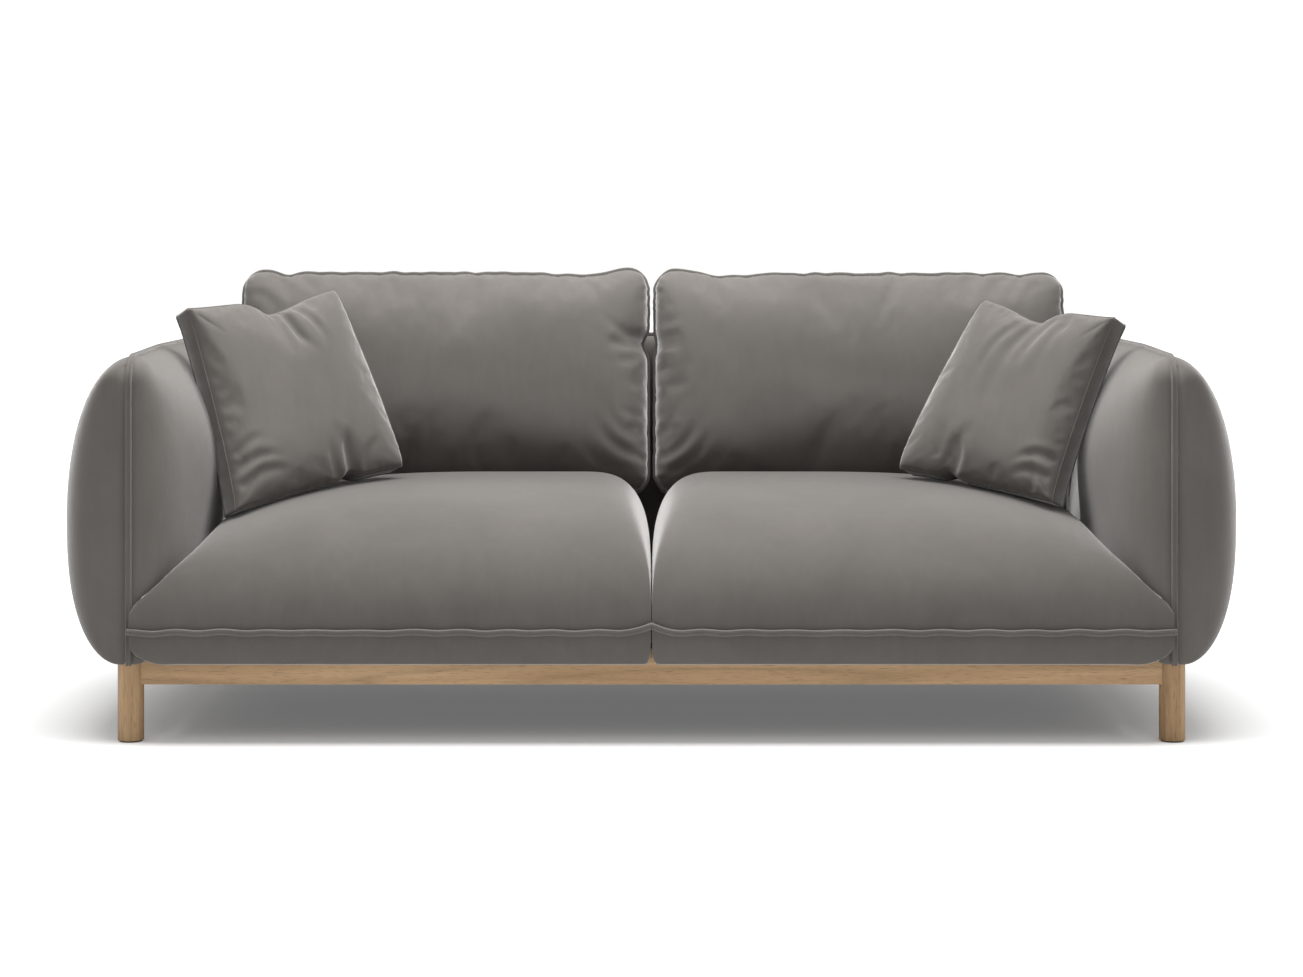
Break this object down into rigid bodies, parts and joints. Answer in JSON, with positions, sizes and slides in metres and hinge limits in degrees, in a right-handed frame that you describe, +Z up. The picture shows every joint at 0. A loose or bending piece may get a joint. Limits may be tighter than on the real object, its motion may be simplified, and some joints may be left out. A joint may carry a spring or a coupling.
{
  "type": "sofa",
  "caption": "Low upholstered sofa with pillow-like arms, loose seat and back cushions, throw pillows and an exposed oak base on round legs.",
  "frame": {"origin": "on the floor, under the middle of the sofa's bounding box", "axes": "+X along the width, towards the right arm as seen from the front; the front faces -Y; +Z up"},
  "size_m": [2.32, 0.95, 0.9009],
  "materials": {
    "velvet": "short-pile velvet with a soft sheen",
    "oak": "clear matt lacquered oak",
    "pine": "planed, unfinished",
    "beech_dowel": "fluted, unfinished",
    "foam": "open-cell cushion foam",
    "fibre_fill": "soft white filling",
    "deck_wadding": "needled felt",
    "platform_cloth": "plain woven lining cloth",
    "dust_cloth": "spun-bonded lining",
    "webbing": "woven elastic strap",
    "bracket_steel": "bright zinc plate",
    "zinc_fasteners": "bright zinc plate",
    "glide_felt": "dense pressed felt"
  },
  "bodies": {
    "sofa_frame": {"leg_front_left": "oak", "leg_front_right": "oak", "leg_rear_left": "oak", "leg_rear_right": "oak", "leg_glides": "glide_felt", "front_rail": "oak", "rear_rail": "oak", "left_rail": "oak", "right_rail": "oak", "rail_dowels": "beech_dowel", "corner_brackets": "bracket_steel", "hanger_bolts": "zinc_fasteners", "hanger_nuts": "zinc_fasteners", "bracket_screws": "zinc_fasteners", "deck_frame_front": "pine", "deck_frame_rear": "pine", "deck_frame_left": "pine", "deck_frame_right": "pine", "deck_frame_centre": "pine", "deck_screws": "zinc_fasteners", "seat_webbing": "webbing", "deck_felt": "deck_wadding", "platform_cloth": "platform_cloth", "dust_cover": "dust_cloth", "arm_left_front_post": "pine", "arm_left_rear_post": "pine", "arm_left_top_rail": "pine", "arm_left_bottom_rail": "pine", "arm_left_foam": "foam", "arm_left_cover": "velvet", "arm_left_piping": "velvet", "arm_right_front_post": "pine", "arm_right_rear_post": "pine", "arm_right_top_rail": "pine", "arm_right_bottom_rail": "pine", "arm_right_foam": "foam", "arm_right_cover": "velvet", "arm_right_piping": "velvet", "back_top_rail": "pine", "back_bottom_rail": "pine", "back_left_post": "pine", "back_right_post": "pine", "back_centre_post": "pine", "back_webbing": "webbing", "back_foam": "foam", "back_cover": "velvet", "back_piping": "velvet", "frame_bolts": "zinc_fasteners"},
    "seat_cushion_left": {"seat_cushion_left_cover": "velvet", "seat_cushion_left_core": "foam"},
    "back_cushion_left": {"back_cushion_left_cover": "velvet", "back_cushion_left_fill": "fibre_fill"},
    "throw_pillow_left": {"throw_pillow_left_cover": "velvet", "throw_pillow_left_fill": "fibre_fill"},
    "seat_cushion_right": {"seat_cushion_right_cover": "velvet", "seat_cushion_right_core": "foam"},
    "back_cushion_right": {"back_cushion_right_cover": "velvet", "back_cushion_right_fill": "fibre_fill"},
    "throw_pillow_right": {"throw_pillow_right_cover": "velvet", "throw_pillow_right_fill": "fibre_fill"}
  },
  "joints": [
    {"name": "seat_left_pull_out", "type": "slide", "parent": "sofa_frame", "child": "seat_cushion_left", "axis": [0, -1, 0], "range_m": [0, 0.85]},
    {"name": "seat_right_pull_out", "type": "slide", "parent": "sofa_frame", "child": "seat_cushion_right", "axis": [0, -1, 0], "range_m": [0, 0.85]},
    {"name": "back_left_lift_off", "type": "slide", "parent": "sofa_frame", "child": "back_cushion_left", "axis": [0, 0.1908, 0.9816], "range_m": [0, 0.5]},
    {"name": "back_right_lift_off", "type": "slide", "parent": "sofa_frame", "child": "back_cushion_right", "axis": [0, 0.1908, 0.9816], "range_m": [0, 0.5]},
    {"name": "pillow_left_lift_off", "type": "slide", "parent": "seat_cushion_left", "child": "throw_pillow_left", "axis": [0, 0, 1], "range_m": [0, 0.45]},
    {"name": "pillow_right_lift_off", "type": "slide", "parent": "seat_cushion_right", "child": "throw_pillow_right", "axis": [0, 0, 1], "range_m": [0, 0.45]}
  ]
}
